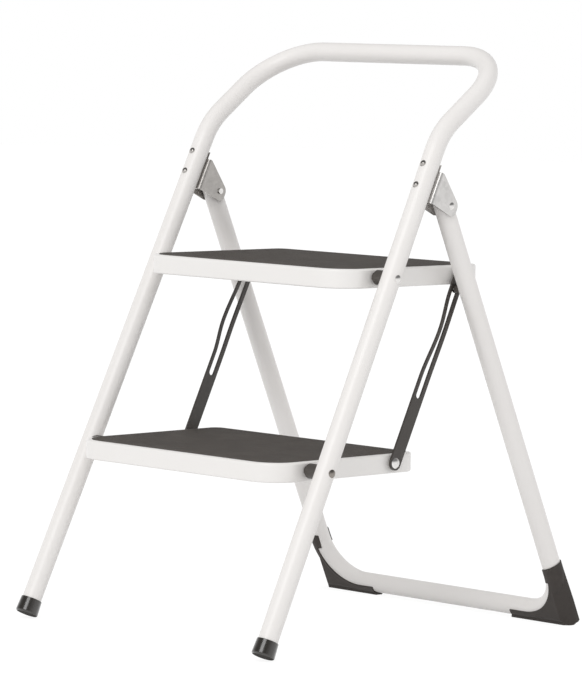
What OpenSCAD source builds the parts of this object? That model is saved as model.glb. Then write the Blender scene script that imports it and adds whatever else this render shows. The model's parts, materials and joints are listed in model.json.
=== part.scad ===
// Folding two-step stool with a raised grip rail: a bent front frame, a U-shaped rear frame
// hinged to it by two brackets, two pressed treads and two slotted links.
// X is the width and Z is up. The user climbs from the -Y side.
//
// Places on the front legs are given in the leg frame: "a" runs up along the legs from the floor,
// and "b" is the distance behind their centre lines.

/* [Tube] */
// Outer diameter of the frame tube
tube_d = 25; // [23:0.5:27]
// Wall of the frame tube
tube_wall = 1.2; // [1:0.1:2]

/* [Front frame] */
// Angle of the front legs above the floor
leg_lean = 65.25; // [63:0.25:67]
// Half the spacing of the front legs at the floor
foot_half = 217; // [200:1:240]
// How much each leg has closed in at the shoulder bend
leg_taper = 8.5; // [0:0.5:14]
// Length of a leg up to its shoulder bend
shoulder_a = 700; // [690:1:740]
// Centre-line radius of the shoulder bend
shoulder_bend_r = 95; // [60:1:120]
// Angle of the grip rail's arms above the floor
rail_lean = 37.25; // [30:0.25:50]
// Length of a grip rail arm, from the shoulder bend to the top corner
rail_arm = 160; // [150:1:200]
// How much each rail arm spreads towards the top corner
rail_spread = 2; // [0:0.5:6]
// Centre-line radius of the top corners
rail_bend_r = 82; // [60:1:100]

/* [Rear frame] */
// Distance along the front leg from the upper tread's pivot up to the hinge
hinge_up = 120.5; // [114:0.5:126]
// Distance of the hinge behind the front leg's centre line
hinge_b = 46; // [43:0.5:48]
// Angle of the rear legs above the floor
rear_lean = 64.25; // [62:0.25:67]
// How much each rear leg spreads from the hinge to the floor bar
rear_spread = 4; // [0:0.5:8]
// Centre-line radius of the rear frame's lower corners
rear_bend_r = 62; // [50:1:66]
// Length of the rear leg above the hinge
rear_top = 15; // [10:0.5:18]

/* [Treads] */
// Place of the lower tread's pivot along the front leg
lower_a = 240; // [220:1:260]
// Place of the upper tread's pivot along the front leg
upper_a = 500; // [490:1:510]
// Gap between the front leg and the side of the upper tread
side_gap = 15.5; // [15:0.1:18]
// Depth of a tread, front to back
tread_depth = 256; // [225:1:265]
// Distance from a tread's front edge to its pivot
tread_front = 58.5; // [50:0.5:70]
// Angle by which an open tread rises towards the rear
tread_tilt = 0.9; // [0:0.05:1.5]
// Height of a tread's rim above its pivot
tread_rise = 10.8; // [10.5:0.1:12]
// Depth of the folded skirt
skirt = 24.5; // [22:0.5:32]
// Plan radius of the two front corners
front_corner_r = 41.5; // [20:0.5:60]
// Plan radius of the two rear corners
rear_corner_r = 19.5; // [12:0.5:30]
// Thickness of the pressed steel sheet
sheet = 1.2; // [0.8:0.1:1.5]
// Radius of the pressed upper edge
edge_r = 3; // [2:0.1:3.5]
// Radius of the rolled lower edge
hem_r = 2; // [1.6:0.1:3]
// Width of the flange turned in under the skirt
hem = 8; // [5:0.5:10]
// Width of the painted rim around the mat
rim = 6.5; // [4:0.1:8]
// Depth of the mat's recess
recess = 2; // [1:0.1:2.4]
// Thickness of the rubber mat
mat_t = 2.6; // [2.2:0.1:4]
// Gap all round between the mat and its recess
mat_gap = 0.3; // [0.1:0.05:0.6]

/* [Links] */
// Distance from a tread's pivot back to its link rivet
link_back = 150.3; // [148:0.1:153]
// Height of the link rivet above the tread's pivot, square to the tread
link_up = 0; // [-1:0.1:1]
// Width of the flat link
link_w = 18.5; // [18:0.5:24]
// Thickness of the flat link
link_t = 3; // [2:0.1:3.4]
// How far the link's centre line lies behind the line through its two rivets
link_shift = 0.5; // [-0.5:0.1:1]
// Radius of the link's upper end
link_end_r = 8; // [7:0.5:8]
// Length over which the link narrows to its upper end
link_neck = 12; // [8:1:20]
// Gap between a tread's skirt and the link
link_gap = 4; // [3.6:0.1:4.4]
// Distance from the link's lower rivet up to the slot's lower end
slot_start = 88; // [60:1:105]
// Distance from the hinge down the rear leg to the slide pin
pin_reach = 118.5; // [115:0.5:120]
// Diameter of the slide pin
pin_d = 4.2; // [3.8:0.1:4.6]
// Degrees that the treads turn for each degree that the rear frame turns
fold_ratio = 0.92; // [0.9:0.005:0.94]

/* [Hinge brackets] */
// Thickness of the bracket plate
bracket_t = 2; // [1.5:0.1:2.5]
// Length along the leg of the saddle that holds the tube
bracket_len = 52; // [47:1:60]
// Distance from the hinge down to the lower end of the bracket
bracket_drop = 12.5; // [11:0.5:16]
// Distance of the side plates' front face behind the leg's centre line
ear_front = 10; // [9:0.5:11]
// Length of the side plates where they leave the saddle
ear_len = 42.5; // [38:0.5:46]
// Radius of the side plate around the hinge
ear_r = 10.4; // [9:0.1:11.5]
// Radius of the side plate's lower rear corner
ear_heel_r = 8; // [4:0.5:9]
// Outer radius of the bend between the saddle and the side plates
ear_bend_r = 4.4; // [2.5:0.1:5]
// Gap on each side between the rear leg and the side plate
ear_gap = 0.4; // [0.3:0.05:0.8]

/* [Rivets and washers] */
// Shank diameter of the tread pivot rivets
pivot_d = 7; // [6:0.5:8]
// Head diameter of the tread pivot rivets
pivot_head_d = 10.5; // [10:0.5:14]
// Head height of the tread pivot rivets
pivot_head_h = 2.6; // [2.4:0.1:4]
// Diameter of the plastic spacers at the tread pivots
spacer_d = 19; // [16:0.5:20]
// Diameter of a spacer's neck beside the tread
neck_d = 12; // [11:0.5:14]
// Length of a spacer's neck
neck_len = 5; // [2:0.5:6]
// Shank diameter of the hinge rivets
hinge_d = 6; // [5:0.5:8]
// Head diameter of the hinge rivets
hinge_head_d = 9.5; // [8.5:0.5:12]
// Head height of the hinge rivets
hinge_head_h = 2.4; // [2:0.1:3]
// Shank diameter of the link rivets
link_rivet_d = 6; // [5:0.5:7]
// Head diameter of the link rivets
link_head_d = 14; // [10:0.5:15]
// Head height of the link rivets
link_head_h = 3.2; // [2:0.1:3.4]
// Shank diameter of the bracket rivets
bracket_rivet_d = 5; // [4:0.5:6]
// Head diameter of the bracket rivets
bracket_head_d = 8.5; // [8:0.5:10]
// Head height of the bracket rivets
bracket_head_h = 2.4; // [1.5:0.1:3.5]
// Distance between a bracket's two rivets
bracket_rivet_gap = 29; // [24:1:32]
// Distance from the bracket's lower end to its lower rivet
bracket_rivet_up = 15; // [12:0.5:18]
// Diameter of the slide pin's inner head
pin_head_d = 11; // [9:0.5:12]
// Outer diameter of the slide pin's bush
bush_d = 12; // [10:0.5:14]
// Thickness of the plain washers
washer_t = 1; // [0.8:0.1:1.5]
// Height of a rivet's closed end
tail_h = 2; // [1.5:0.1:3]

/* [Feet] */
// Diameter of a front foot cap at its upper end
cap_top_d = 27.6; // [27.4:0.1:30]
// Diameter of a front foot cap at its lower end
cap_base_d = 29.5; // [28:0.5:33]
// Length of a front foot cap
cap_len = 20; // [16:0.5:40]
// Thickness of the sole in a front foot cap
cap_sole = 4; // [3:0.5:7]
// Edge radius of a front foot cap
cap_edge_r = 2.5; // [1:0.1:2.8]
// Wall of the rear shoes around the tube
shoe_wall = 1.4; // [1.2:0.1:1.8]
// Thickness of the sole under the rear bar
shoe_sole = 3; // [2.5:0.1:4]
// Width of the flat sole under the rear bar
sole_w = 12; // [8:0.5:14]
// How far the sole runs on past the end of a shoe's arm
sole_run = 2; // [0:0.5:4]
// Length of a shoe's arm along the floor bar, from its outer face
shoe_arm = 102; // [96:1:120]
// Height of a shoe's sleeve up the rear leg, from the floor bar's centre line
shoe_height = 73; // [72:0.5:80]
// Height of the clip at the top of a shoe, which reaches furthest round the tube
shoe_ring = 21; // [15:0.5:24]
// How far that clip reaches past the tube's centre line, towards the middle
shoe_grip = 7.8; // [4:0.1:10]
// Angle at which the sleeve's top edge rises outwards
shoe_top_rise = 15; // [0:1:18]
// How far the open part of a shoe reaches past the tube's centre line
shoe_cover = 1.2; // [0.5:0.1:2]
// Reach of the heel's edge outside the rear leg's centre line
nose_out = 14.8; // [14.2:0.1:16]
// Distance of the heel's edge behind the rear frame's plane
nose_back = 3.8; // [3:0.1:5]
// Thickness of the heel's edge
nose_t = 5.5; // [4:0.5:7]
// Height up to which the heel's edge stays straight
heel_rise = 19; // [10:1:30]
// How far the heel's edge draws in from there to the top of the tube's bend
heel_draw = 3.6; // [3.4:0.1:5]
// Radius of the shoe's outer heel corner
heel_r = 9; // [5:0.5:11]

/* [Clearances] */
// Radial clearance of a rivet in its hole
running = 0.05; // [0.03:0.01:0.1]
// Gap between faces that slide past each other
face_gap = 0.3; // [0.2:0.05:0.35]
// Least gap between the slide pin and the edges of its slot
slot_clear = 0.2; // [0.1:0.05:0.3]
// Gap between a foot or shoe and the tube that it grips
seat = 0.03; // [0.01:0.01:0.05]

/* [Hidden] */
$fn = 48;

PAINT = [0.93, 0.93, 0.91];
ZINC = [0.72, 0.72, 0.70];
BRIGHT = [0.85, 0.85, 0.83];
BLACK_STEEL = [0.20, 0.19, 0.18];
BLACK_PLASTIC = [0.13, 0.12, 0.12];
RUBBER = [0.27, 0.26, 0.25];

eps = 0.01;
bend_lap = 0.5;
bend_draw = 0.03;
heel_lap = 0.15;
tube_r = tube_d / 2;
bore_r = tube_r - tube_wall;
grip_r = tube_r + seat;

// Heights: the front caps stand on their rear lower edge, the shoes on their flat soles
foot_z = (cap_base_d / 2 - cap_edge_r) * cos(leg_lean) + cap_edge_r * (1 - sin(leg_lean));
bar_z = tube_r + shoe_sole;

// World place [y, z] of a point of the leg frame, before the part is centred on its footprint
function leg_y(a, b) = a * cos(leg_lean) + b * sin(leg_lean);
function leg_z(a, b) = foot_z + a * sin(leg_lean) - b * cos(leg_lean);
function leg_x(a) = foot_half - leg_taper * a / shoulder_a;

// The rear frame runs from its hinge to the floor bar
hinge_a = upper_a + hinge_up;
hinge_x = leg_x(hinge_a);
hinge_y = leg_y(hinge_a, hinge_b);
hinge_z = leg_z(hinge_a, hinge_b);
rear_len = (hinge_z - bar_z) / sin(rear_lean);
bar_y = hinge_y + rear_len * cos(rear_lean);
bar_half = hinge_x + rear_spread;
function rear_x(down) = hinge_x + rear_spread * down / rear_len;

// The footprint is centred on the origin, from the front caps to the backs of the shoes
sleeve_r = grip_r + shoe_wall;
front_reach = leg_y(cap_edge_r, cap_edge_r - cap_base_d / 2) - cap_edge_r;
rear_reach = bar_y + sleeve_r;
mid_y = (front_reach + rear_reach) / 2;

// Treads lie between the front legs
tread_half = leg_x(upper_a) - tube_r - side_gap;
tread_rear = tread_depth - tread_front;

// Fold: the treads turn about their pivots while the rear frame closes on the front one,
// and the links stay parallel to the front legs
open_angle = 180 - leg_lean - rear_lean;
link_d = norm([link_back, link_up]);
link_angle = leg_lean - tread_tilt - atan2(link_up, link_back);
link_len = upper_a - lower_a;
function pin_place(fold) = [hinge_b + pin_reach * sin(open_angle - fold),
    hinge_a - lower_a - pin_reach * cos(open_angle - fold)];
function rivet_place(turn) = link_d * [sin(link_angle - turn), cos(link_angle - turn)];
function slot_place(fold) = pin_place(fold) - rivet_place(fold_ratio * fold);
SLOT_STEPS = 24;
slot_track = [for (i = [0 : SLOT_STEPS]) slot_place(open_angle * i / SLOT_STEPS)];
slot_side = [for (p = slot_track) p[0]];
slot_mid = (max(slot_side) + min(slot_side)) / 2;
slot_w = pin_d + max(slot_side) - min(slot_side) + 2 * slot_clear;
// The slot's upper end stops the pin when the stool is open
stop_play = (slot_w - pin_d) / 2 - slot_clear;
slot_top = slot_place(0)[1]
    - sqrt(max(0, pow(stop_play, 2) - pow(slot_place(0)[0] - slot_mid, 2)));

// Places across the width, from the tread's skirt out to the rear leg
link_x = tread_half + link_gap;
link_out = link_x + link_t;
pin_x = rear_x(pin_reach);
pin_head_x = tread_half + 0.25 * link_gap;
pin_head_t = 0.75 * link_gap - face_gap;

module both_sides() {
    children();
    mirror([1, 0, 0]) children();
}

module centred() {
    translate([0, -mid_y, 0]) children();
}

// The front legs' frame: x across, y behind the legs, z up along them
module leg_frame(a = 0, b = 0) {
    centred() translate([0, leg_y(a, b), leg_z(a, b)]) rotate([leg_lean - 90, 0, 0]) children();
}

// The rear frame's own frame at its hinge: z up along the legs, y behind them
module rear_frame_place(down = 0) {
    centred() translate([0, hinge_y, hinge_z]) rotate([90 - rear_lean, 0, 0])
        translate([0, 0, -down]) children();
}

// A tread's frame at its pivot axis
module tread_place(a) {
    centred() translate([0, leg_y(a, 0), leg_z(a, 0)]) rotate([tread_tilt, 0, 0]) children();
}

// Turns a shape built along z to run along +x
module along_x() {
    rotate([0, 90, 0]) children();
}

// A flat plate of thickness t, drawn as (y, z) and raised along +x
module plate_x(t) {
    rotate([90, 0, 90]) linear_extrude(t) children();
}

// Solid rod through the given points, rounded by one bend radius at each inner point.
// Bends are drawn in slightly, and the straight lengths run on into them
function unit(v) = v / norm(v);
function turn(u, v) = acos(min(1, u * v));
function bend_cut(p, r, i) = (i == 0 || i == len(p) - 1) ? 0
    : r[i - 1] * tan(turn(unit(p[i] - p[i - 1]), unit(p[i + 1] - p[i])) / 2) - bend_lap;

module frame_at(o, ex, ey, ez) {
    multmatrix([[ex[0], ey[0], ez[0], o[0]], [ex[1], ey[1], ez[1], o[1]],
        [ex[2], ey[2], ez[2], o[2]], [0, 0, 0, 1]]) children();
}

module rod_between(p, q, r) {
    ez = unit(q - p);
    ex = unit(cross([0, 1, 0.2], ez));
    frame_at(p, ex, cross(ez, ex), ez) cylinder(h = norm(q - p), r = r);
}

module bent_rod(p, bends, r) {
    for (i = [0 : len(p) - 2]) {
        u = unit(p[i + 1] - p[i]);
        rod_between(p[i] + u * bend_cut(p, bends, i), p[i + 1] - u * bend_cut(p, bends, i + 1), r);
    }
    for (i = [1 : len(p) - 2]) {
        u = unit(p[i] - p[i - 1]);
        v = unit(p[i + 1] - p[i]);
        w = (v - u * cos(turn(u, v))) / sin(turn(u, v));
        centre = p[i] - u * (bend_cut(p, bends, i) + bend_lap) + w * bends[i - 1];
        frame_at(centre, -w, u, cross(-w, u))
            rotate_extrude(angle = turn(u, v)) translate([bends[i - 1], 0]) circle(r - bend_draw);
    }
}

// The same points with both ends moved outwards by e
function run_out(p, e) = [for (i = [0 : len(p) - 1])
    i == 0 ? p[0] - unit(p[1] - p[0]) * e
    : i == len(p) - 1 ? p[i] + unit(p[i] - p[i - 1]) * e : p[i]];

// Hollow tube: the bore runs out past both ends
module bent_tube(p, bends) {
    difference() {
        bent_rod(p, bends, tube_r);
        bent_rod(run_out(p, tube_r), bends, bore_r);
    }
}

// Rivet along +z: a domed head below z = 0, then the shank, then the closed end
module dome(d, h) {
    ball = (pow(d / 2, 2) + h * h) / (2 * h);
    intersection() {
        translate([0, 0, ball - h]) sphere(ball);
        translate([0, 0, -h - eps]) cylinder(h = h + eps, d = 2 * d);
    }
}

module rivet(d, grip, head_d, head_h, tail_d) {
    dome(head_d, head_h);
    translate([0, 0, -eps]) cylinder(h = grip + 2 * eps, d = d);
    translate([0, 0, grip]) cylinder(h = tail_h, d = tail_d);
}

module washer(d, hole_d, t) {
    difference() {
        cylinder(h = t, d = d);
        translate([0, 0, -eps]) cylinder(h = t + 2 * eps, d = hole_d + 2 * running);
    }
}

// ---------- Front frame ----------

rail_turn = leg_lean - rail_lean;
leg_start = [foot_half - leg_taper * cap_sole / shoulder_a, 0, cap_sole];
shoulder = [foot_half - leg_taper, 0, shoulder_a];
corner = shoulder + [rail_spread, rail_arm * sin(rail_turn), rail_arm * cos(rail_turn)];
function flip(v) = [-v[0], v[1], v[2]];
front_line = [leg_start, shoulder, corner, flip(corner), flip(shoulder), flip(leg_start)];

// The line of one front leg, longer than the leg at both ends, for saddles and holes
module leg_rod(r) {
    rod_between([leg_x(-tube_d), 0, -tube_d], [leg_x(shoulder_a), 0, shoulder_a], r);
}

module pivot_holes() {
    for (a = [lower_a, upper_a])
        translate([tread_half, 0, a]) along_x() cylinder(h = foot_half, d = pivot_d + 2 * running);
}

bracket_base = hinge_a - bracket_drop;

module bracket_rivet_places() {
    for (i = [0, 1]) {
        a = bracket_base + bracket_rivet_up + i * bracket_rivet_gap;
        translate([leg_x(a), 0, a]) rotate([-90, 0, 0]) children();
    }
}

module front_frame() {
    color(PAINT) leg_frame() difference() {
        bent_tube(front_line, [shoulder_bend_r, rail_bend_r, rail_bend_r, shoulder_bend_r]);
        both_sides() {
            pivot_holes();
            bracket_rivet_places() translate([0, 0, -2 * tube_r])
                cylinder(h = 4 * tube_r, d = bracket_rivet_d + 2 * running);
        }
    }
}

// Turned profile of a foot cap: a slightly flared cup with a rounded lower edge
module cap_profile() {
    difference() {
        union() {
            translate([0, cap_edge_r]) polygon([[0, 0], [cap_base_d / 2, 0],
                [cap_top_d / 2, cap_len - cap_edge_r], [0, cap_len - cap_edge_r]]);
            square([cap_base_d / 2 - cap_edge_r, cap_edge_r + eps]);
            intersection() {
                translate([cap_base_d / 2 - cap_edge_r, cap_edge_r]) circle(cap_edge_r);
                square([cap_base_d, cap_edge_r + eps]);
            }
        }
        translate([-eps, cap_sole]) square([grip_r + eps, cap_len]);
    }
}

module front_cap() {
    leg = unit(shoulder - leg_start);
    color(BLACK_PLASTIC) leg_frame()
        frame_at([foot_half, 0, 0], unit(cross([0, 1, 0], leg)), [0, 1, 0], leg)
            rotate_extrude() cap_profile();
}

module front_cap_left() { mirror([1, 0, 0]) front_cap(); }
module front_cap_right() { front_cap(); }

// ---------- Hinge brackets ----------

ear_in = tube_r + ear_gap;
ear_out = ear_in + bracket_t;
bend_in = ear_out - ear_bend_r;
bend_back = ear_front + ear_bend_r;
ear_start = bend_back + bracket_t / 4;

// Side plate: as long as ear_len at the saddle, tapering to the round end at the hinge
module ear_profile() {
    top = [ear_start - eps, bracket_base + ear_len];
    hub = [hinge_b, hinge_a];
    side = atan2(top[1] - hub[1], top[0] - hub[0]) - acos(ear_r / norm(hub - top));
    touch = hub + ear_r * [cos(side), sin(side)];
    heel = [hinge_b + ear_r - ear_heel_r, bracket_base + ear_heel_r];
    difference() {
        union() {
            polygon([top, [top[0], bracket_base], [heel[0], bracket_base], heel,
                [heel[0] + ear_heel_r, heel[1]], [hinge_b + ear_r, hinge_a], hub, touch]);
            translate(hub) circle(ear_r);
            translate(heel) circle(ear_heel_r);
        }
        translate(hub) circle(hinge_d / 2 + running);
    }
}

// Section across the leg of the flat lip beside the tube, bent round into the side plate
module lip_section() {
    translate([0, ear_front]) square([bend_in, bracket_t]);
    translate([ear_in, bend_back]) square([bracket_t, ear_start - bend_back]);
    difference() {
        intersection() {
            translate([bend_in, bend_back]) circle(ear_bend_r);
            translate([bend_in, ear_front]) square(ear_bend_r);
        }
        translate([bend_in, bend_back]) circle(ear_bend_r - bracket_t);
    }
}

module bracket() {
    color(ZINC) leg_frame() difference() {
        union() {
            // The saddle follows the tube
            intersection() {
                leg_rod(tube_r + bracket_t);
                translate([hinge_x - ear_out, ear_front, bracket_base])
                    cube([2 * ear_out, tube_r, bracket_len]);
            }
            translate([hinge_x, 0, bracket_base]) both_sides() linear_extrude(ear_len) lip_section();
            for (x = [hinge_x - ear_out, hinge_x + ear_in])
                translate([x, 0, 0]) plate_x(bracket_t) ear_profile();
        }
        leg_rod(tube_r + eps);
        bracket_rivet_places()
            cylinder(h = 2 * tube_r, d = bracket_rivet_d + 2 * running);
    }
}

module bracket_left() { mirror([1, 0, 0]) bracket(); }
module bracket_right() { bracket(); }

// Takes a rod along the leg out of what is seated on it, but not out of the shanks
module seated_on_saddle(r) {
    difference() {
        children();
        difference() {
            leg_rod(r);
            bracket_rivet_places() cylinder(h = 4 * tube_r, d = bracket_rivet_d, center = true);
        }
    }
}

module bracket_rivets() {
    color(BLACK_STEEL) leg_frame() both_sides() {
        seated_on_saddle(tube_r) bracket_rivet_places() translate([0, 0, -tube_r]) {
            dome(bracket_head_d, bracket_head_h);
            translate([0, 0, -eps]) cylinder(h = bracket_head_h, d = bracket_head_d);
            cylinder(h = 2 * tube_r + bracket_t, d = bracket_rivet_d);
        }
        seated_on_saddle(tube_r + bracket_t + eps) bracket_rivet_places() translate([0, 0, tube_r])
            cylinder(h = bracket_t + tail_h, d = 1.5 * bracket_rivet_d);
    }
}

module hinge_rivets() {
    color(BRIGHT) leg_frame() both_sides() translate([hinge_x + ear_out, hinge_b, hinge_a])
        rotate([0, -90, 0]) rivet(hinge_d, 2 * ear_out, hinge_head_d, hinge_head_h, 1.25 * hinge_d);
}

// ---------- Tread pivots ----------

pivot_end = tread_half - sheet - face_gap - washer_t;
pivot_tail_d = pivot_d + 4;

module pivot_rivet(a) {
    start = leg_x(a) + tube_r;
    translate([start, 0, a]) rotate([0, -90, 0])
        rivet(pivot_d, start - pivot_end, pivot_head_d, pivot_head_h, pivot_tail_d);
    // Lower part of the head, seated on the round leg
    translate([start - pivot_head_h, 0, a]) along_x()
        cylinder(h = pivot_head_h + eps, d = pivot_head_d);
}

// Takes the leg's round surface out of what is seated on it, but not out of the shank
module seated_on_leg(a, shank_d, r) {
    difference() {
        children();
        difference() {
            leg_rod(r);
            translate([tread_half, 0, a]) along_x() cylinder(h = foot_half, d = shank_d);
        }
    }
}

module pivot_rivets(a) {
    color(BRIGHT) leg_frame() both_sides() seated_on_leg(a, pivot_d, tube_r) pivot_rivet(a);
}

module upper_pivot_rivets() { pivot_rivets(upper_a); }
module lower_pivot_rivets() { pivot_rivets(lower_a); }

module pivot_washers() {
    color(ZINC) leg_frame() both_sides() for (a = [lower_a, upper_a])
        translate([pivot_end, 0, a]) along_x() washer(pivot_tail_d + 2, pivot_d, washer_t);
}

module spacers(a) {
    x = tread_half + face_gap;
    color(BLACK_PLASTIC) leg_frame() both_sides() difference() {
        union() {
            translate([x, 0, a]) along_x() cylinder(h = 2 * neck_len, d = neck_d);
            translate([x + neck_len, 0, a]) along_x()
                cylinder(h = leg_x(a) - x - neck_len, d = spacer_d);
        }
        translate([x - eps, 0, a]) along_x() cylinder(h = foot_half, d = pivot_d + 2 * running);
        leg_rod(tube_r + eps);
    }
}

module upper_spacers() { spacers(upper_a); }
module lower_spacers() { spacers(lower_a); }

// ---------- Rear frame ----------

rear_line = [[rear_x(-rear_top), 0, rear_top], [bar_half, 0, -rear_len],
    [-bar_half, 0, -rear_len], [-rear_x(-rear_top), 0, rear_top]];
rear_bends = [rear_bend_r, rear_bend_r];

module rear_frame() {
    color(PAINT) rear_frame_place() difference() {
        bent_tube(rear_line, rear_bends);
        both_sides() {
            translate([hinge_x - 2 * tube_r, 0, 0]) along_x()
                cylinder(h = 4 * tube_r, d = hinge_d + 2 * running);
            translate([pin_x - 2 * tube_r, 0, -pin_reach]) along_x()
                cylinder(h = 2 * tube_r, d = pin_d + 2 * running);
        }
    }
}

shoe_line = [rear_line[0], rear_line[1], [0, 0, -rear_len]];
shoe_out = bar_half + nose_out;
shoe_end = shoe_out - shoe_arm;
clip_low = shoe_height - shoe_ring;
corner_r = sleeve_r - 2 * bend_draw;
CORNER_FACETS = 6;
corner_half_t = corner_r * cos(90 / CORNER_FACETS);

// Outline of a shoe in the rear frame's plane: x across, y up the leg from the bar's centre line
module shoe_outline() {
    side = 2 * sleeve_r;
    rise = tan(shoe_top_rise);
    difference() {
        polygon([[shoe_end, -side], [bar_half + side, -side],
            [bar_half + side, shoe_height + side * rise],
            [bar_half - shoe_grip, shoe_height - shoe_grip * rise],
            [bar_half - shoe_grip, clip_low], [shoe_end, clip_low]]);
        // Below the clip the shoe is open on its inner side
        intersection() {
            union() {
                translate([bar_half - rear_bend_r, rear_bend_r]) circle(rear_bend_r - shoe_cover);
                translate([-bar_half, shoe_cover]) square([2 * bar_half - rear_bend_r, shoe_height]);
                translate([-bar_half, rear_bend_r]) square([2 * bar_half - shoe_cover, shoe_height]);
            }
            translate([-bar_half, -side]) square([3 * bar_half, clip_low + side]);
        }
    }
}

// Section of a shoe across the leg, running out to the narrow heel
module shoe_plan(reach, half_t) {
    translate([bar_half, 0]) polygon([[-reach, half_t], [-reach, -half_t], [0, -half_t],
        [nose_out, nose_back - nose_t / 2], [nose_out, nose_back + nose_t / 2], [0, half_t]]);
}

// Solid corner of a shoe outside the tube's bend
module shoe_corner() {
    low = -2 * sleeve_r;
    step = 180 / CORNER_FACETS;
    web_top = min(clip_low, rear_bend_r) - eps;
    intersection() {
        translate([0, 0, low]) linear_extrude(rear_bend_r - low)
            shoe_plan(rear_bend_r, corner_half_t + eps);
        // Outline, drawn in towards the clip
        translate([0, 2 * sleeve_r, 0]) rotate([90, 0, 0]) linear_extrude(4 * sleeve_r)
            polygon([[0, 2 * low], [2 * bar_half, 2 * low], [2 * bar_half, heel_rise],
                [shoe_out, heel_rise], [shoe_out - heel_draw, rear_bend_r + eps],
                [bar_half, rear_bend_r + eps], [bar_half, web_top], [0, web_top]]);
        // Section across the bar: flat sides and a faceted underside
        plate_x(2 * bar_half) polygon([[-corner_half_t, 2 * rear_bend_r],
            for (i = [0 : CORNER_FACETS - 1])
                -corner_r * [cos(step * (i + 0.5)), sin(step * (i + 0.5))],
            [corner_half_t, 2 * rear_bend_r]]);
    }
}

module shoe() {
    heel_x = shoe_out - heel_r + heel_lap;
    heel_z = heel_r - heel_lap;
    color(BLACK_PLASTIC) difference() {
        union() {
            rear_frame_place(rear_len) intersection() {
                translate([0, 2 * sleeve_r, 0]) rotate([90, 0, 0])
                    linear_extrude(4 * sleeve_r) shoe_outline();
                union() {
                    translate([0, 0, rear_len]) bent_rod(shoe_line, [rear_bend_r], sleeve_r);
                    shoe_corner();
                }
            }
            // The flat sole on the floor
            intersection() {
                centred() translate([shoe_end - sole_run, bar_y - sole_w / 2, 0])
                    cube([shoe_arm + tube_d, sole_w, bar_z]);
                rear_frame_place(rear_len) translate([0, 0, -4 * sleeve_r])
                    linear_extrude(8 * sleeve_r) shoe_plan(shoe_arm, sleeve_r);
            }
        }
        rear_frame_place() bent_rod(shoe_line, [rear_bend_r], grip_r);
        // The rounded heel corner
        centred() difference() {
            translate([heel_x, bar_y - tube_d, -heel_r])
                cube([2 * heel_r, 2 * tube_d, heel_r + heel_z]);
            translate([heel_x, bar_y, heel_z]) rotate([90, 0, 0])
                cylinder(h = 3 * tube_d, r = heel_r, center = true);
        }
    }
}

module rear_shoe_left() { mirror([1, 0, 0]) shoe(); }
module rear_shoe_right() { shoe(); }

module slide_pins() {
    tail_d = 1.5 * pin_d;
    inner_wall = pin_x - sqrt(pow(bore_r, 2) - pow(tail_d / 2, 2)) + 2 * running;
    color(BRIGHT) rear_frame_place(pin_reach) both_sides() {
        translate([pin_head_x, 0, 0]) along_x() cylinder(h = pin_head_t, d = pin_head_d);
        translate([pin_head_x, 0, 0]) along_x() cylinder(h = inner_wall - pin_head_x + eps, d = pin_d);
        translate([inner_wall, 0, 0]) along_x() cylinder(h = tail_h, d = tail_d);
    }
}

module slide_bushes() {
    start = link_out + face_gap;
    color(BLACK_PLASTIC) rear_frame_place(pin_reach) both_sides() translate([start, 0, 0])
        along_x() washer(bush_d, pin_d, pin_x - tube_r - start - eps);
}

// ---------- Treads ----------

// Section through a tread's edge: x = 0 at the outer face, y = 0 at the rim
module edge_section() {
    difference() {
        intersection() {
            translate([-edge_r, -edge_r]) circle(edge_r);
            translate([-edge_r, -edge_r]) square(edge_r + eps);
        }
        translate([-edge_r, -edge_r]) circle(edge_r - sheet);
    }
    translate([-sheet, hem_r - skirt]) square([sheet, skirt - hem_r - edge_r]);
    translate([-rim, -sheet]) square([rim - edge_r, sheet]);
    translate([-rim, -recess - sheet]) square([sheet, recess + sheet]);
    difference() {
        intersection() {
            translate([-hem_r, hem_r - skirt]) circle(hem_r);
            translate([-hem_r, -skirt - eps]) square([hem_r + eps, hem_r + eps]);
        }
        translate([-hem_r, hem_r - skirt]) circle(hem_r - sheet);
    }
    translate([-hem, -skirt]) square([hem - hem_r, sheet]);
}

// Plan of a tread, drawn in by the given margin
module tread_plan(margin) {
    rf = front_corner_r - margin;
    rr = rear_corner_r - margin;
    w = tread_half - margin;
    front = margin - tread_front;
    back = tread_rear - margin;
    translate([-w + rf, front]) square([2 * (w - rf), rf]);
    translate([-w, front + rf]) square([2 * w, back - front - rf - rr]);
    translate([-w + rr, back - rr]) square([2 * (w - rr), rr]);
    for (s = [-1, 1]) {
        translate([s * (w - rf), front + rf]) circle(rf);
        translate([s * (w - rr), back - rr]) circle(rr);
    }
}

// A straight run of the edge from p to q, with the outer face on its right
module edge_run(p, q) {
    along = unit(q - p);
    frame_at([p[0], p[1], 0], [along[1], -along[0], 0], [0, 0, 1], [-along[0], -along[1], 0])
        translate([0, 0, -norm(q - p)]) linear_extrude(norm(q - p)) edge_section();
}

module edge_corner(centre, r, from) {
    translate([centre[0], centre[1], 0]) rotate(from)
        rotate_extrude(angle = 90) translate([r, 0]) edge_section();
}

module tread_shell() {
    w = tread_half;
    f = -tread_front;
    b = tread_rear;
    rf = front_corner_r;
    rr = rear_corner_r;
    edge_run([-w + rf, f], [w - rf, f]);
    edge_corner([w - rf, f + rf], rf, -90);
    edge_run([w, f + rf], [w, b - rr]);
    edge_corner([w - rr, b - rr], rr, 0);
    edge_run([w - rr, b], [-w + rr, b]);
    edge_corner([-w + rr, b - rr], rr, 90);
    edge_run([-w, b - rr], [-w, f + rf]);
    edge_corner([-w + rf, f + rf], rf, 180);
    translate([0, 0, -recess - sheet]) linear_extrude(sheet) tread_plan(rim);
}

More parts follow.
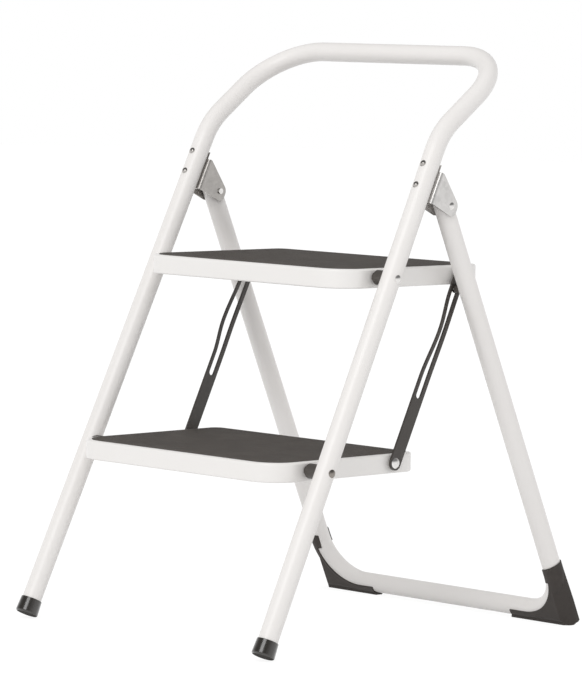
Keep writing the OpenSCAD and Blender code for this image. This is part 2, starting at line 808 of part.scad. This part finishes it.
module tread(a) {
    color(PAINT) tread_place(a) difference() {
        translate([0, 0, tread_rise]) tread_shell();
        for (hole = [[0, 0, pivot_d], [link_back, link_up, link_rivet_d]])
            translate([-foot_half, hole[0], hole[1]]) along_x()
                cylinder(h = 2 * foot_half, d = hole[2] + 2 * running);
    }
}

module upper_tread() { tread(upper_a); }
module lower_tread() { tread(lower_a); }

module mat(a) {
    color(RUBBER) tread_place(a) translate([0, 0, tread_rise - recess])
        linear_extrude(mat_t) tread_plan(rim + mat_gap);
}

module upper_mat() { mat(upper_a); }
module lower_mat() { mat(lower_a); }

// ---------- Links ----------

module link_rivets(a) {
    start = link_out + face_gap;
    color(BRIGHT) tread_place(a) both_sides() translate([start, link_back, link_up])
        rotate([0, -90, 0])
            rivet(link_rivet_d, start - tread_half + sheet, link_head_d, link_head_h,
                link_rivet_d + 3);
}

module link_washers(a) {
    color(ZINC) tread_place(a) both_sides() translate([tread_half, link_back, link_up])
        along_x() washer(link_rivet_d + 8, link_rivet_d, link_gap - face_gap);
}

module upper_link_rivets() { link_rivets(upper_a); }
module upper_link_washers() { link_washers(upper_a); }
module lower_link_rivets() { link_rivets(lower_a); }
module lower_link_washers() { link_washers(lower_a); }

// A straight bar with round ends, from y = low to y = high
module round_bar(w, low, high) {
    translate([-w / 2, low]) square([w, high - low]);
    translate([0, low]) circle(w / 2);
    translate([0, high]) circle(w / 2);
}

module link_profile() {
    difference() {
        union() {
            translate([link_shift, 0]) circle(link_w / 2);
            translate([link_shift - link_w / 2, 0]) square([link_w, link_len - link_neck]);
            polygon([[link_shift - link_w / 2, link_len - link_neck],
                [link_shift + link_w / 2, link_len - link_neck],
                [link_end_r, link_len], [-link_end_r, link_len]]);
            translate([0, link_len]) circle(link_end_r);
        }
        for (y = [0, link_len])
            translate([0, y]) circle(link_rivet_d / 2 + running);
        translate([slot_mid, 0]) round_bar(slot_w, slot_start + slot_w / 2, slot_top);
    }
}

module link() {
    at = rivet_place(0);
    color(BLACK_STEEL) leg_frame(lower_a + at[1], at[0])
        translate([link_x, 0, 0]) plate_x(link_t) link_profile();
}

module link_left() { mirror([1, 0, 0]) link(); }
module link_right() { link(); }

// ---------- Nodes ----------

front_frame();
front_cap_left();
front_cap_right();
bracket_left();
bracket_right();
bracket_rivets();
hinge_rivets();
upper_pivot_rivets();
lower_pivot_rivets();
pivot_washers();
upper_spacers();
lower_spacers();
rear_frame();
rear_shoe_left();
rear_shoe_right();
slide_pins();
slide_bushes();
upper_tread();
upper_mat();
upper_link_rivets();
upper_link_washers();
lower_tread();
lower_mat();
lower_link_rivets();
lower_link_washers();
link_left();
link_right();
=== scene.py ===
import json
import math

import bpy
from mathutils import Matrix, Vector


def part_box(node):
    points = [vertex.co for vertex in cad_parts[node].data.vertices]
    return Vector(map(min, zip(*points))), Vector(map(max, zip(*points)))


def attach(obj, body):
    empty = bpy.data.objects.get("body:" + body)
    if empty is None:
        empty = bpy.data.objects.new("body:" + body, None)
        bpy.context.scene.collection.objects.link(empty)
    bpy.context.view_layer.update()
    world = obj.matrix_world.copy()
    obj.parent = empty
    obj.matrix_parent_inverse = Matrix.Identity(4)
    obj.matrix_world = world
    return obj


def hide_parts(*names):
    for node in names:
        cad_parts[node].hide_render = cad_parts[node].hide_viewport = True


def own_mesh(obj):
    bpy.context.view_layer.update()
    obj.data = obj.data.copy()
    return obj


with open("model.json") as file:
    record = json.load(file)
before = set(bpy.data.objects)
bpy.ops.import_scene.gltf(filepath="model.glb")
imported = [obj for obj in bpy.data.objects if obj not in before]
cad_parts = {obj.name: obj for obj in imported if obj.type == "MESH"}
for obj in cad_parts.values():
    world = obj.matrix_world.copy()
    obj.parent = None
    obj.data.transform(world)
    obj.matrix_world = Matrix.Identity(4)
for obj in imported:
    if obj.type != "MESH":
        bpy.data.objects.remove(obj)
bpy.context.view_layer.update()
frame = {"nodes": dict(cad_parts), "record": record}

nodes = frame["nodes"]
MM = 0.001


# ---------- Camera ----------
# Stands about 5 m away, to the front right, a little below the rail's height, in metres.

CAMERA_PLACE = Vector((3.58467, -3.61563, 0.72267))
CAMERA_AIM = Vector((0.06566, -0.09679, 0.36084))
CAMERA_TILT = math.radians(1.803)
CAMERA_LENS_MM = 203.38
SENSOR_WIDTH_MM = 36
FAR_CLIP = 100


def add_camera():
    back = (CAMERA_PLACE - CAMERA_AIM).normalized()
    right = Vector((0, 0, 1)).cross(back).normalized()
    up = back.cross(right)
    side = right * math.cos(CAMERA_TILT) + up * math.sin(CAMERA_TILT)
    top = up * math.cos(CAMERA_TILT) - right * math.sin(CAMERA_TILT)
    cam = bpy.data.cameras.new("front_right_camera")
    cam.lens = CAMERA_LENS_MM
    cam.sensor_width = SENSOR_WIDTH_MM
    cam.clip_end = FAR_CLIP
    holder = bpy.data.objects.new("front_right_camera", cam)
    bpy.context.scene.collection.objects.link(holder)
    turn = Matrix((side, top, back)).transposed().to_4x4()
    holder.matrix_world = Matrix.Translation(CAMERA_PLACE) @ turn
    bpy.context.scene.camera = holder


add_camera()


# ---------- Material helpers ----------

def new_finish(name, base, rough, metal=0.0):
    finish = bpy.data.materials.new(name)
    finish.use_nodes = True
    shader = finish.node_tree.nodes["Principled BSDF"]
    shader.inputs["Base Color"].default_value = (*base, 1)
    shader.inputs["Roughness"].default_value = rough
    shader.inputs["Metallic"].default_value = metal
    return finish, finish.node_tree, shader


def object_place(tree, scale=(1, 1, 1)):
    where = tree.nodes.new("ShaderNodeTexCoord")
    fit = tree.nodes.new("ShaderNodeMapping")
    fit.inputs["Scale"].default_value = scale
    tree.links.new(where.outputs["Object"], fit.inputs["Vector"])
    return fit.outputs["Vector"]


def noise(tree, place, scale, detail=4.0, rough=0.55):
    grain = tree.nodes.new("ShaderNodeTexNoise")
    grain.inputs["Scale"].default_value = scale
    grain.inputs["Detail"].default_value = detail
    grain.inputs["Roughness"].default_value = rough
    tree.links.new(place, grain.inputs["Vector"])
    return grain.outputs["Fac"]


def ramp(tree, value, stops):
    """Turns a value into a colour, by stops that are each a position and a shade."""
    band = tree.nodes.new("ShaderNodeValToRGB")
    points = band.color_ramp.elements
    while len(points) < len(stops):
        points.new(0.5)
    for point, (at, shade) in zip(points, stops):
        point.position = at
        point.color = (*shade, 1)
    tree.links.new(value, band.inputs["Fac"])
    return band.outputs["Color"]


def grey(level):
    return (level, level, level)


def spread(tree, value, low, high):
    """Stretches a value that runs from 0 to 1 to the range low to high."""
    fit = tree.nodes.new("ShaderNodeMapRange")
    fit.inputs["To Min"].default_value = low
    fit.inputs["To Max"].default_value = high
    tree.links.new(value, fit.inputs["Value"])
    return fit.outputs["Result"]


def blend(tree, share, first, second):
    """Mixes two colours; share is how much of the second there is, a number or a socket."""
    mix = tree.nodes.new("ShaderNodeMix")
    mix.data_type = "RGBA"
    for value, port in ((share, mix.inputs["Factor"]),
                        (first, mix.inputs["A"]), (second, mix.inputs["B"])):
        if isinstance(value, bpy.types.NodeSocket):
            tree.links.new(value, port)
        elif isinstance(value, tuple):
            port.default_value = (*value, 1)
        else:
            port.default_value = value
    return mix.outputs["Result"]


def relief(tree, shader, height, strength, distance):
    bump = tree.nodes.new("ShaderNodeBump")
    bump.inputs["Strength"].default_value = strength
    bump.inputs["Distance"].default_value = distance
    tree.links.new(height, bump.inputs["Height"])
    tree.links.new(bump.outputs["Normal"], shader.inputs["Normal"])


def shade_of(base, factor, lift=0.0):
    """The base colour made darker or lighter."""
    return tuple(c * factor + lift for c in base)


# ---------- Finishes ----------
# Noise scales are in cycles per metre, and relief distances in metres.

WARM_TINT = (0.985, 0.975, 0.965)
SOLE_ROUGH = 0.95
SOLE_FACING = -0.85
SIDE_FACING = -0.60


def powder_coat(name, base, dust, rough, gloss):
    """Powder coat: orange peel in the sheen, and a faint unevenness of tone."""
    finish, tree, shader = new_finish(name, base, rough)
    place = object_place(tree)
    warm = tuple(c * k for c, k in zip(base, WARM_TINT))
    shade = blend(tree, noise(tree, place, scale=9.0, detail=3.0), base, warm)
    grit = noise(tree, place, scale=620.0, detail=2.0)
    specks = ramp(tree, grit, [(0.70, grey(0)), (0.76, grey(dust))])
    shade = blend(tree, specks, shade, shade_of(base, 0.80))
    tree.links.new(shade, shader.inputs["Base Color"])
    patches = noise(tree, place, scale=30.0)
    tree.links.new(spread(tree, patches, rough - 0.06, rough + 0.08), shader.inputs["Roughness"])
    shader.inputs["Coat Weight"].default_value = 0.35
    shader.inputs["Coat Roughness"].default_value = gloss
    orange_peel = noise(tree, place, scale=480.0, detail=2.0)
    relief(tree, shader, orange_peel, strength=0.10, distance=0.0004)
    return finish


def moulded_black(name, base, rough):
    """Black moulding with a fine spark-eroded grain and rubbed, paler high spots."""
    finish, tree, shader = new_finish(name, base, rough)
    place = object_place(tree)
    wear = noise(tree, place, scale=55.0, detail=6.0)
    rubbed = ramp(tree, wear, [(0.52, grey(0)), (0.80, grey(0.35))])
    shade = blend(tree, rubbed, base, shade_of(base, 1.8, lift=0.01))
    tree.links.new(shade, shader.inputs["Base Color"])
    patches = noise(tree, place, scale=90.0)
    tree.links.new(spread(tree, patches, rough - 0.06, rough + 0.1), shader.inputs["Roughness"])
    grain = noise(tree, place, scale=900.0, detail=3.0)
    relief(tree, shader, grain, strength=0.25, distance=0.0005)
    return finish


def add_glazed_side(finish, rough, weight, gloss):
    """A clear gloss on the sides of a moulding whose sole, facing down, is left matte."""
    tree = finish.node_tree
    shader = tree.nodes["Principled BSDF"]
    facing = tree.nodes.new("ShaderNodeNewGeometry")
    split = tree.nodes.new("ShaderNodeSeparateXYZ")
    tree.links.new(facing.outputs["True Normal"], split.inputs[0])
    on_side = tree.nodes.new("ShaderNodeMapRange")
    on_side.inputs["From Min"].default_value = SOLE_FACING
    on_side.inputs["From Max"].default_value = SIDE_FACING
    tree.links.new(split.outputs["Z"], on_side.inputs["Value"])
    shader.inputs["Coat Roughness"].default_value = gloss
    side = on_side.outputs["Result"]
    tree.links.new(spread(tree, side, 0.0, weight), shader.inputs["Coat Weight"])
    tree.links.new(spread(tree, side, SOLE_ROUGH, rough), shader.inputs["Roughness"])


def coated_steel(name, base):
    """Black coated flat steel: slight gloss, fine texture, and rub marks along the length."""
    finish, tree, shader = new_finish(name, base, rough=0.42)
    shader.inputs["Specular IOR Level"].default_value = 0.55
    place = object_place(tree)
    drawn = noise(tree, object_place(tree, (240.0, 40.0, 14.0)), scale=1.0)
    marks = ramp(tree, drawn, [(0.55, grey(0)), (0.78, grey(0.30))])
    shade = blend(tree, marks, base, shade_of(base, 1.9, lift=0.02))
    tree.links.new(shade, shader.inputs["Base Color"])
    patches = noise(tree, place, scale=70.0)
    tree.links.new(spread(tree, patches, 0.34, 0.52), shader.inputs["Roughness"])
    grain = noise(tree, place, scale=700.0, detail=2.0)
    relief(tree, shader, grain, strength=0.18, distance=0.0004)
    return finish


def zinc_plate(name, base, rough):
    """Plated pressed steel: cloudy spangle, fine draw lines and slightly dull patches."""
    finish, tree, shader = new_finish(name, base, rough, metal=0.9)
    place = object_place(tree)
    cells = tree.nodes.new("ShaderNodeTexVoronoi")
    cells.inputs["Scale"].default_value = 210.0
    tree.links.new(place, cells.inputs["Vector"])
    cloud = blend(tree, 0.35, noise(tree, place, scale=40.0, detail=5.0), cells.outputs["Color"])
    shade = ramp(tree, cloud, [(0.30, shade_of(base, 0.84)), (0.72, base)])
    tree.links.new(shade, shader.inputs["Base Color"])
    lines = noise(tree, object_place(tree, (60.0, 700.0, 60.0)), scale=1.0, detail=3.0)
    tree.links.new(spread(tree, lines, rough - 0.08, rough + 0.14), shader.inputs["Roughness"])
    relief(tree, shader, lines, strength=0.12, distance=0.0003)
    return finish


def turned_steel(name, base, rough):
    """Plated rivet steel with light handling marks."""
    finish, tree, shader = new_finish(name, base, rough, metal=1.0)
    place = object_place(tree)
    marks = noise(tree, place, scale=260.0, detail=5.0, rough=0.7)
    shade = ramp(tree, marks, [(0.35, shade_of(base, 0.88)), (0.65, base)])
    tree.links.new(shade, shader.inputs["Base Color"])
    tree.links.new(spread(tree, marks, rough - 0.07, rough + 0.12), shader.inputs["Roughness"])
    relief(tree, shader, marks, strength=0.06, distance=0.0003)
    return finish


def mat_rubber(name, base):
    """Dark matte rubber with a sanded grain, dust in its pits and scuffed ribs."""
    finish, tree, shader = new_finish(name, base, rough=0.74)
    shader.inputs["Specular IOR Level"].default_value = 0.35
    place = object_place(tree)
    wear = noise(tree, place, scale=24.0, detail=6.0, rough=0.65)
    scuffs = ramp(tree, wear, [(0.42, grey(0)), (0.75, grey(0.55))])
    shade = blend(tree, scuffs, base, shade_of(base, 1.45))
    pits = noise(tree, place, scale=1500.0, detail=2.0)
    grains = ramp(tree, pits, [(0.50, grey(0)), (0.80, grey(0.5))])
    shade = blend(tree, grains, shade, shade_of(base, 0.6))
    tree.links.new(shade, shader.inputs["Base Color"])
    patches = noise(tree, place, scale=60.0)
    tree.links.new(spread(tree, patches, 0.66, 0.84), shader.inputs["Roughness"])
    sanding = noise(tree, place, scale=1100.0, rough=0.6)
    relief(tree, shader, sanding, strength=0.45, distance=0.0006)
    return finish


paint = powder_coat("frame_powder_coat", (0.81, 0.79, 0.775), dust=0.10, rough=0.44, gloss=0.26)
tread_paint = powder_coat("tread_powder_coat", (0.815, 0.80, 0.785),
                          dust=0.08, rough=0.32, gloss=0.11)
cap_black = moulded_black("foot_cap_black", (0.013, 0.010, 0.007), rough=0.24)
add_glazed_side(cap_black, rough=0.26, weight=1.0, gloss=0.12)
shoe_black = moulded_black("shoe_black", (0.032, 0.025, 0.021), rough=0.62)
spacer_black = moulded_black("spacer_black", (0.064, 0.056, 0.050), rough=0.45)
link_black = coated_steel("link_black_coat", (0.042, 0.035, 0.030))
bracket_zinc = zinc_plate("bracket_zinc", (0.72, 0.705, 0.69), rough=0.34)
# Painted shade: the left bracket gets a darker copy of the same zinc, with the shade that falls
# on it painted into its colour.
shaded_bracket_zinc = zinc_plate("bracket_zinc_painted_shade", (0.47, 0.45, 0.43), rough=0.34)
rivet_bright = turned_steel("rivet_plated", (0.80, 0.785, 0.77), rough=0.18)
rivet_dull = turned_steel("lower_rivet_dull", (0.30, 0.275, 0.25), rough=0.30)
rivet_dark = turned_steel("bracket_rivet_dark", (0.46, 0.44, 0.42), rough=0.16)
washer_zinc = zinc_plate("washer_zinc", (0.66, 0.65, 0.63), rough=0.34)
rubber = mat_rubber("mat_rubber", (0.078, 0.068, 0.060))


def dress(finish, *names):
    for name in names:
        mesh = nodes[name].data
        if not mesh.materials:
            mesh.materials.append(finish)
        for i in range(len(mesh.materials)):
            nodes[name].material_slots[i].material = finish


dress(paint, "front_frame", "rear_frame")
dress(tread_paint, "upper_tread", "lower_tread")
dress(cap_black, "front_cap_left", "front_cap_right")
dress(shoe_black, "rear_shoe_left", "rear_shoe_right")
dress(spacer_black, "upper_spacers", "lower_spacers", "slide_bushes")
dress(link_black, "link_left", "link_right")
dress(bracket_zinc, "bracket_right")
# Painted shade: the left bracket's zinc is darkened to stand in for the shade on it.
dress(shaded_bracket_zinc, "bracket_left")
dress(rivet_dark, "bracket_rivets")
dress(rivet_bright, "hinge_rivets", "upper_pivot_rivets", "slide_pins",
      "upper_link_rivets", "lower_link_rivets")
dress(rivet_dull, "lower_pivot_rivets")
dress(washer_zinc, "pivot_washers", "upper_link_washers", "lower_link_washers")
dress(rubber, "upper_mat", "lower_mat")


# ---------- Ribbed mats ----------

MAT_FRONT_ROUND = 34.7 * MM
MAT_REAR_ROUND = 12.7 * MM
MAT_BORDER = 5.0 * MM
RIB_PITCH = 3.6 * MM
RIB_GROOVE = 1.2 * MM
RIB_DEPTH = 0.7 * MM
RIB_SLOPE = 0.22 * MM
EDGE_WIDTH = 0.45 * MM
EDGE_DROP = 0.35 * MM
OUTLINE_TOLERANCE = 0.1 * MM
TOP_TOLERANCE = 0.001 * MM
FACES_UP = 0.9
MAT_SMOOTH_BELOW = math.radians(38)


def inside(point, size):
    """How far a point lies inside the outline of a mat of the given size, seen from above."""
    x = size.x / 2 - abs(point.x)
    y = size.y / 2 - abs(point.y)
    r = MAT_FRONT_ROUND if point.y < 0 else MAT_REAR_ROUND
    if x < r and y < r:
        return r - math.hypot(r - x, r - y)
    return min(x, y)


def edit(piece, kinds="FACE"):
    """Opens a piece in edit mode, with nothing in it selected."""
    if bpy.context.mode != "OBJECT":
        bpy.ops.object.mode_set(mode="OBJECT")
    bpy.ops.object.select_all(action="DESELECT")
    piece.select_set(True)
    bpy.context.view_layer.objects.active = piece
    bpy.ops.object.mode_set(mode="EDIT")
    bpy.ops.mesh.select_mode(type=kinds)
    bpy.ops.mesh.select_all(action="DESELECT")


def choose(piece, test, kinds="FACE"):
    """Selects the faces or edges of a piece in edit mode for which test is true."""
    edit(piece, kinds)
    bpy.ops.object.mode_set(mode="OBJECT")
    mesh = piece.data
    if kinds == "FACE":
        for face in mesh.polygons:
            face.select = test(face)
    else:
        for line in mesh.edges:
            line.select = test([mesh.vertices[v].co for v in line.vertices])
    bpy.ops.object.mode_set(mode="EDIT")


def ribbed_mat(name, node, body, face):
    """A mat made flat, then turned to the slope of the tread's top and set in its place."""
    low, high = (Vector(corner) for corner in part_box(node))
    axis = next(m["axis"] for m in frame["record"]["mounts"] if m["name"] == face)
    slope = math.atan2(-axis[1], axis[2])
    cos, sin = math.cos(slope), math.sin(slope)
    # The box of the sloping mat gives its length and thickness when it lies flat
    span = high - low
    shrink = cos * cos - sin * sin
    length = (span.y * cos - span.z * sin) / shrink
    thick = (span.z * cos - span.y * sin) / shrink
    size = Vector((span.x, length, thick))
    bpy.ops.object.select_all(action="DESELECT")
    bpy.ops.mesh.primitive_cube_add(size=1, location=(0, 0, 0), scale=size)
    mat = bpy.context.object
    mat.name = name
    bpy.ops.object.transform_apply(location=True, rotation=True, scale=True)

    def upright(ends, side):
        """True of the upright corner edges at the front (side -1) or the rear (side 1)."""
        start, end = ends
        return abs((start - end).z) > 0.5 * thick and start.y * side > 0.49 * length

    choose(mat, lambda ends: upright(ends, -1), "EDGE")
    bpy.ops.mesh.bevel(offset=MAT_FRONT_ROUND, offset_type="OFFSET", segments=16)
    choose(mat, lambda ends: upright(ends, 1), "EDGE")
    bpy.ops.mesh.bevel(offset=MAT_REAR_ROUND, offset_type="OFFSET", segments=10)

    # Rounded outer edge, a plain border, then a field of cross ribs between narrow grooves
    choose(mat, lambda face: face.normal.z > FACES_UP)
    bpy.ops.mesh.inset(thickness=EDGE_WIDTH)
    choose(mat, lambda face: face.normal.z > FACES_UP and face.area > size.x * length / 2)
    bpy.ops.mesh.inset(thickness=MAT_BORDER - EDGE_WIDTH)
    bpy.ops.object.mode_set(mode="OBJECT")
    count = int((length - 2 * MAT_BORDER) / RIB_PITCH)
    start = -(count * RIB_PITCH - RIB_GROOVE) / 2

    def inner(face):
        return face.normal.z > FACES_UP and inside(face.center, size) > 0.98 * MAT_BORDER

    for i in range(count):
        for y in (start + i * RIB_PITCH, start + (i + 1) * RIB_PITCH - RIB_GROOVE):
            choose(mat, inner)
            bpy.ops.mesh.bisect(plane_co=(0, y, 0), plane_no=(0, 1, 0))

    def in_groove(face):
        step = (face.center.y - start) / RIB_PITCH
        return inner(face) and 0 < step < count - 0.5 and step % 1 > 1 - RIB_GROOVE / RIB_PITCH

    choose(mat, in_groove)
    bpy.ops.mesh.inset(thickness=RIB_SLOPE)
    bpy.ops.transform.translate(value=(0, 0, -RIB_DEPTH))

    def on_outer_edge(ends):
        on_top = min(point.z for point in ends) > thick / 2 - TOP_TOLERANCE
        return on_top and max(inside(point, size) for point in ends) < OUTLINE_TOLERANCE

    # The outer edge of the top drops a little, which rounds it off
    choose(mat, on_outer_edge, "EDGE")
    bpy.ops.transform.translate(value=(0, 0, -EDGE_DROP))
    bpy.ops.object.mode_set(mode="OBJECT")
    bpy.ops.object.shade_smooth_by_angle(angle=MAT_SMOOTH_BELOW)
    mat.rotation_euler.x = slope
    mat.location = (low + high) / 2
    bpy.ops.object.select_all(action="DESELECT")
    mat.select_set(True)
    bpy.context.view_layer.objects.active = mat
    bpy.ops.object.transform_apply(location=True, rotation=True, scale=True)
    mat.data.materials.append(rubber)
    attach(mat, body)
    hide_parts(node)


ribbed_mat("upper_ribbed_mat", "upper_mat", "upper_step", "upper_tread_top")
ribbed_mat("lower_ribbed_mat", "lower_mat", "lower_step", "lower_tread_top")


# ---------- Link strands ----------
# The front strand beside each slot is bowed outwards, and keeps this bow as it rides with its
# link.
# The rear strand bows a little the same way.

BOW = 5.2 * MM
REAR_BOW = 0.9 * MM
STATION = 4.0 * MM
MERGE_BELOW = 0.005 * MM
LINK_SMOOTH_BELOW = math.radians(30)


def copy_of(node, name):
    """A closed copy of a CAD node's mesh, as a new piece with no finish yet."""
    piece = bpy.data.objects.new(name, nodes[node].data.copy())
    bpy.context.scene.collection.objects.link(piece)
    piece.data.materials.clear()
    edit(piece)
    bpy.ops.mesh.select_all(action="SELECT")
    bpy.ops.mesh.remove_doubles(threshold=MERGE_BELOW)
    bpy.ops.object.mode_set(mode="OBJECT")
    return piece


def rivet_axis(node):
    """Where the common axis of a pair of rivets crosses the stool's middle plane."""
    low, high = (Vector(corner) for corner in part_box(node))
    return Vector((0, (low.y + high.y) / 2, (low.z + high.z) / 2))


def trim(piece, unwanted):
    """Takes away the faces for which unwanted is true, and closes the cut ends."""
    choose(piece, unwanted)
    bpy.ops.mesh.delete(type="FACE")
    bpy.ops.mesh.select_all(action="SELECT")
    bpy.ops.mesh.fill_holes(sides=0)
    bpy.ops.object.mode_set(mode="OBJECT")
    bpy.ops.object.shade_smooth_by_angle(angle=LINK_SMOOTH_BELOW)
    piece.data.materials.append(link_black)


def bowed_link(side, out, crest, down, up):
    """Splits a link into its plate and its front strand, and bows both strands outwards.

    The crest, where the bow is widest, is that far up the link from its lower rivet. The bow
    fades away over the lengths down, below the crest, and up, above it. The side that the bow
    points to is out, 1 or -1 along X."""
    foot = rivet_axis("lower_link_rivets")
    along = (rivet_axis("upper_link_rivets") - foot).normalized()
    across = Vector((0, along.z, -along.y))
    node, body = "link_" + side, side + "_link"
    plate = copy_of(node, side + "_link_plate")
    first, last = crest - down, crest + up
    count = round((last - first) / STATION)
    for i in range(count + 1):
        edit(plate)
        bpy.ops.mesh.select_all(action="SELECT")
        cut = foot + along * (first + (last - first) * i / count)
        bpy.ops.mesh.bisect(plane_co=cut, plane_no=along)
    bpy.ops.object.mode_set(mode="OBJECT")
    strand = bpy.data.objects.new(side + "_link_strand", plate.data.copy())
    bpy.context.scene.collection.objects.link(strand)

    def on_strand(face):
        place = face.center - foot
        return first < place.dot(along) < last and place.dot(across) < 0

    trim(plate, on_strand)
    trim(strand, lambda face: not on_strand(face))
    for piece, bow in ((plate, REAR_BOW), (strand, BOW)):
        for point in piece.data.vertices:
            step = (point.co - foot).dot(along) - crest
            share = step / (up if step > 0 else down)
            point.co.x += out * bow * math.cos(math.pi / 2 * max(-1, min(1, share))) ** 2
        piece.data.update()
        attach(piece, body)
        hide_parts(node)
    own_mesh(strand)


bowed_link("right", out=1, crest=180 * MM, down=66 * MM, up=55 * MM)
bowed_link("left", out=-1, crest=166 * MM, down=50 * MM, up=68 * MM)


# ---------- Floor, light and background ----------
# To the camera and in reflections the floor is near white, with the object's shadow on it.

FLOOR_SIZE = 40
FLOOR_TONE = 0.80
SHADOW_TONE = 0.16
FLOOR_GLOW = 0.90
SOFT_LIGHT = 0.91
SURROUND_TOP = 0.12
CEILING_FROM = 0.50
CEILING_TONE = 0.22


def either(tree, first, second):
    """1 where either of two values that are 0 or 1 is 1."""
    larger = tree.nodes.new("ShaderNodeMath")
    larger.operation = "MAXIMUM"
    tree.links.new(first, larger.inputs[0])
    tree.links.new(second, larger.inputs[1])
    return larger.outputs[0]


def choice(tree, share, first, second, end):
    """Mixes two shaders by share, and joins the result to the end node's surface."""
    pick = tree.nodes.new("ShaderNodeMixShader")
    for i, source in enumerate((share, first, second)):
        tree.links.new(source, pick.inputs[i])
    tree.links.new(pick.outputs[0], tree.nodes.new(end).inputs["Surface"])


def diffuse(tree, tone):
    shader = tree.nodes.new("ShaderNodeBsdfDiffuse")
    shader.inputs["Color"].default_value = (*grey(tone), 1)
    return shader.outputs[0]


def add_floor():
    bpy.ops.object.select_all(action="DESELECT")
    bpy.ops.mesh.primitive_plane_add(size=FLOOR_SIZE, location=(0, 0, 0))
    floor = bpy.context.object
    floor.name = "floor"
    finish = bpy.data.materials.new("pale_floor")
    finish.use_nodes = True
    tree = finish.node_tree
    tree.nodes.clear()
    rays = tree.nodes.new("ShaderNodeLightPath").outputs
    seen = either(tree, rays["Is Camera Ray"], rays["Is Glossy Ray"])
    glow = tree.nodes.new("ShaderNodeEmission")
    glow.inputs["Strength"].default_value = FLOOR_GLOW
    both = tree.nodes.new("ShaderNodeAddShader")
    tree.links.new(diffuse(tree, SHADOW_TONE), both.inputs[0])
    tree.links.new(glow.outputs[0], both.inputs[1])
    choice(tree, seen, diffuse(tree, FLOOR_TONE), both.outputs[0], "ShaderNodeOutputMaterial")
    floor.data.materials.append(finish)


def add_world():
    world = bpy.data.worlds.new("studio")
    bpy.context.scene.world = world
    world.use_nodes = True
    tree = world.node_tree
    tree.nodes.clear()
    rays = tree.nodes.new("ShaderNodeLightPath").outputs
    seen = either(tree, rays["Is Camera Ray"], rays["Is Glossy Ray"])
    through = either(tree, seen, rays["Is Transmission Ray"])
    soft = tree.nodes.new("ShaderNodeBackground")
    soft.inputs["Color"].default_value = (*grey(1.0), 1)
    soft.inputs["Strength"].default_value = SOFT_LIGHT
    # Reflections see the white surround low down, and a dimmer ceiling above
    where = tree.nodes.new("ShaderNodeTexCoord")
    split = tree.nodes.new("ShaderNodeSeparateXYZ")
    tree.links.new(where.outputs["Generated"], split.inputs[0])
    dome = ramp(tree, split.outputs["Z"],
                [(SURROUND_TOP, grey(1.0)), (CEILING_FROM, grey(CEILING_TONE))])
    white = tree.nodes.new("ShaderNodeBackground")
    tree.links.new(blend(tree, rays["Is Camera Ray"], dome, grey(1.0)), white.inputs["Color"])
    white.inputs["Strength"].default_value = 1.0
    choice(tree, through, soft.outputs[0], white.outputs[0], "ShaderNodeOutputWorld")


def add_lamp(name, place, aim, size, power):
    lamp = bpy.data.lights.new(name, "AREA")
    lamp.shape = "RECTANGLE"
    lamp.size, lamp.size_y = size
    lamp.energy = power
    holder = bpy.data.objects.new(name, lamp)
    bpy.context.scene.collection.objects.link(holder)
    holder.location = place
    holder.rotation_euler = (Vector(aim) - Vector(place)).to_track_quat("-Z", "Y").to_euler()


add_floor()
add_world()
add_lamp("key_softbox", place=(1.2, -3.9, 3.2), aim=(0, 0, 0.35), size=(2.6, 2.0), power=62)

bpy.context.scene.view_settings.view_transform = "Standard"
